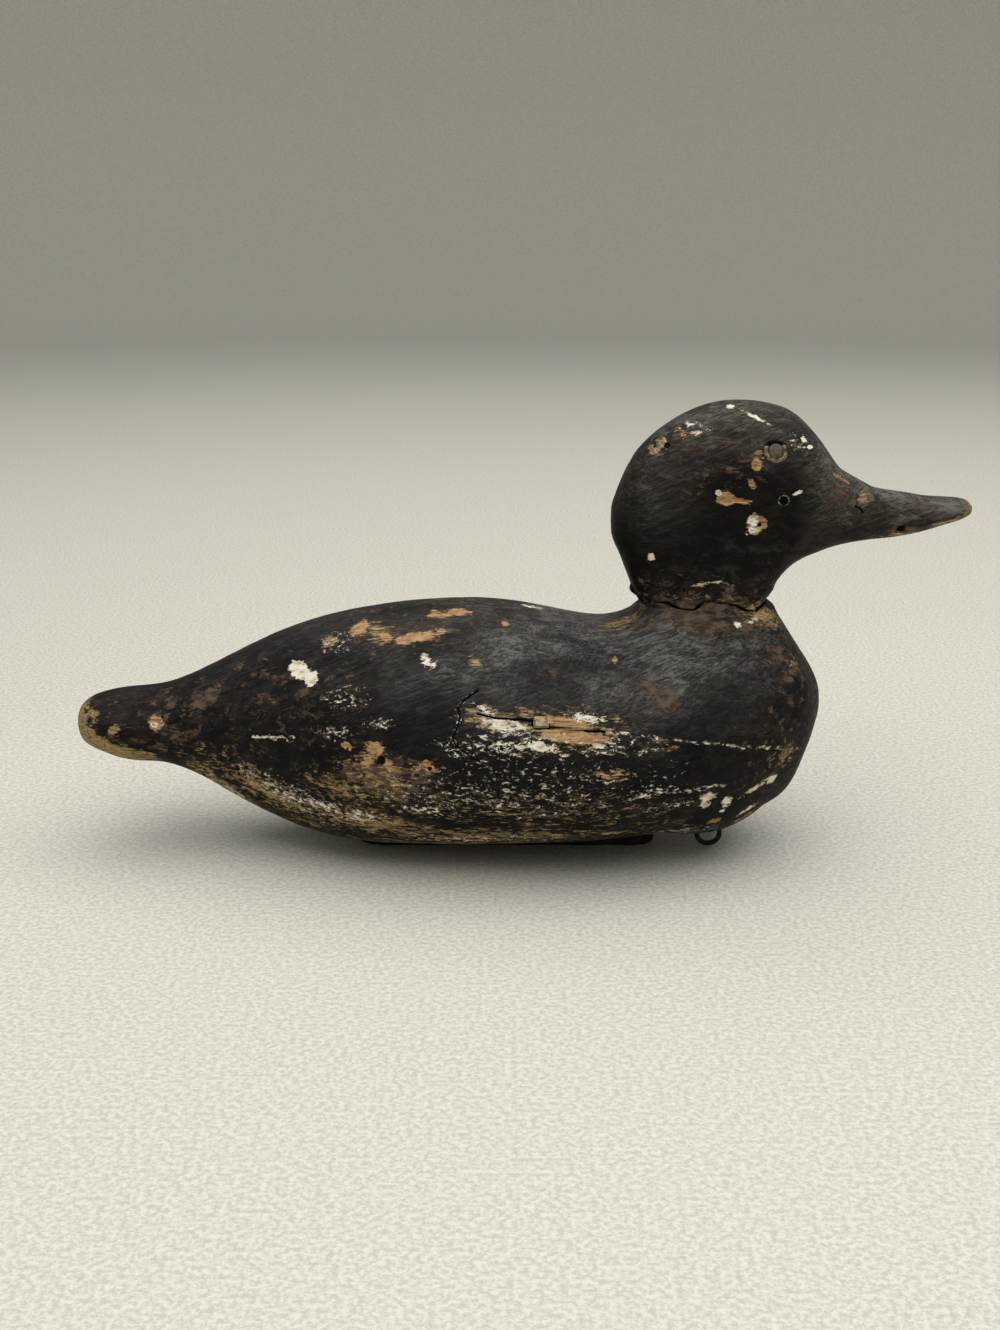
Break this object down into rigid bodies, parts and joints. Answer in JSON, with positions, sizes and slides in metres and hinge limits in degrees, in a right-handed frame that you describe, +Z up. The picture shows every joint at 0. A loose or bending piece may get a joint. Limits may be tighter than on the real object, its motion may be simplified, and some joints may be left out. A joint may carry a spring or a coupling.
{
  "type": "floating duck decoy",
  "caption": "Carved wooden duck decoy with a rounded hull, paddle tail and raised neck shelf, a separate pegged head, a lead strip beneath and a swinging iron line ring in the breast.",
  "frame": {"origin": "on the ground the decoy stands on, below the middle of its overall length, on the centre line of the body", "axes": "+X from the tail to the bill, +Y to the decoy's own left, +Z up"},
  "size_m": [0.415, 0.156, 0.2109],
  "materials": {
    "body_paint": "worn matte black paint over bare and primed pine",
    "head_paint": "worn matte black-brown paint over pine",
    "dowel_wood": "bare hardwood",
    "wedge_wood": "painted and worn sliver of pine",
    "neck_putty": "old cracked putty, painted over",
    "hole_filler": "tan wood filler, chalky",
    "eye_putty": "dry putty",
    "eye_glass": "clouded brown glass",
    "eye_wire": "dull iron wire",
    "nail_iron": "rusted iron",
    "rusty_iron": "dark rusted iron wire",
    "lead": "dull oxidised lead"
  },
  "bodies": {
    "hull": {"body_block": "body_paint", "head_block": "head_paint", "neck_dowel": "dowel_wood", "neck_putty": "neck_putty", "head_spike": "nail_iron", "spike_putty": "hole_filler", "neck_nail_1": "nail_iron", "neck_nail_2": "nail_iron", "neck_nail_3": "nail_iron", "eye_left": "eye_glass", "eye_right": "eye_glass", "eye_putty_left": "eye_putty", "eye_putty_right": "eye_putty", "eye_wire_left": "eye_wire", "eye_wire_right": "eye_wire", "check_wedge": "wedge_wood", "check_filler": "hole_filler", "ballast_weight": "lead", "ballast_nail_1": "nail_iron", "ballast_nail_2": "nail_iron", "ballast_nail_3": "nail_iron", "ballast_nail_4": "nail_iron", "line_staple": "rusty_iron"},
    "ring": {"line_ring": "rusty_iron"}
  },
  "joints": [
    {"name": "ring_swing", "type": "hinge", "parent": "hull", "child": "ring", "pos_m": [0.091, -0.012, 0.0096], "axis": [0, 1, 0], "range_deg": [-60, 40]}
  ]
}
